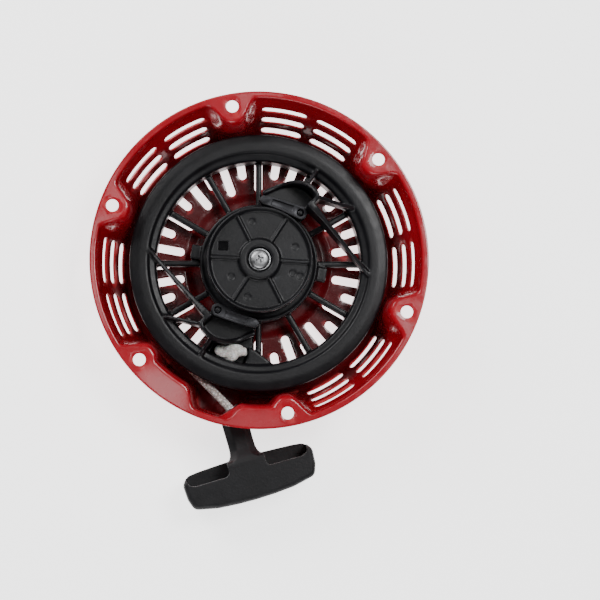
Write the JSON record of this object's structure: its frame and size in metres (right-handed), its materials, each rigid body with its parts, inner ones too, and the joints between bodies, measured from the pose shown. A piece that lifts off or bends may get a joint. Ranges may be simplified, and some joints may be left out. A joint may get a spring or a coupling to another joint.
{
  "type": "recoil starter",
  "caption": "Pull-cord recoil starter for a small engine: vented steel case, rope reel, ratchets, guide disc and T grip.",
  "frame": {"origin": "centre of the closed face, on the reel's axis, in the plane of the outer skin", "axes": "+Z out of the open side towards the engine, +Y opposite the grip, +X to the right when looking into the open side"},
  "size_m": [0.2144, 0.2658, 0.048],
  "materials": {
    "case_red": "glossy red enamel",
    "reel_black": "moulded black nylon",
    "guide_black": "moulded black nylon",
    "grip_black": "fine-grained black plastic",
    "plain_steel": "plain steel",
    "dark_steel": "blackened steel",
    "zinc_plate": "zinc plated",
    "white_cord": "off-white braided cord"
  },
  "bodies": {
    "case": {"case_shell": "case_red", "centre_post": "plain_steel", "rope_eyelet": "plain_steel", "rope_inner_run": "white_cord", "thrust_washer": "plain_steel", "centre_screw": "zinc_plate", "recoil_spring": "plain_steel"},
    "reel": {"reel": "reel_black", "rope_winding": "white_cord", "reel_knot": "white_cord", "ratchet_spring_1": "plain_steel", "ratchet_spring_2": "plain_steel"},
    "guide": {"ratchet_guide": "guide_black", "friction_spring": "plain_steel"},
    "ratchet_1": {"ratchet_1": "dark_steel"},
    "ratchet_2": {"ratchet_2": "dark_steel"},
    "handle": {"grip": "grip_black", "grip_insert": "plain_steel", "grip_knot": "white_cord", "rope_outer_run": "white_cord"}
  },
  "joints": [
    {"name": "handle_pull", "type": "slide", "parent": "case", "child": "handle", "axis": [0.2779, -0.9606, 0], "range_m": [0, 1], "stiffness_N_per_m": 18, "springref_m": -1.2},
    {"name": "reel_spin", "type": "hinge", "parent": "case", "child": "reel", "pos_m": [0, 0, 0.018], "axis": [0, 0, 1], "range_deg": [0, 770], "deforming": ["recoil_spring"]},
    {"name": "guide_turn", "type": "hinge", "parent": "reel", "child": "guide", "pos_m": [0, 0, 0.0415], "axis": [0, 0, -1], "range_deg": [0, 30], "stiffness_Nm_per_rad": 0.05, "springref_deg": -17.19},
    {"name": "ratchet_1_swing", "type": "hinge", "parent": "reel", "child": "ratchet_1", "pos_m": [0.0264, 0.0314, 0.029], "axis": [0, 0, -1], "range_deg": [0, 25.1]},
    {"name": "ratchet_2_swing", "type": "hinge", "parent": "reel", "child": "ratchet_2", "pos_m": [-0.0264, -0.0314, 0.029], "axis": [0, 0, -1], "range_deg": [0, 25.1]}
  ],
  "couplings": [
    {"joint": "reel_spin", "follows": "handle_pull", "rad_per_m": 13.42},
    {"joint": "ratchet_1_swing", "follows": "guide_turn", "ratio": 0.8333},
    {"joint": "ratchet_2_swing", "follows": "guide_turn", "ratio": 0.8333}
  ]
}
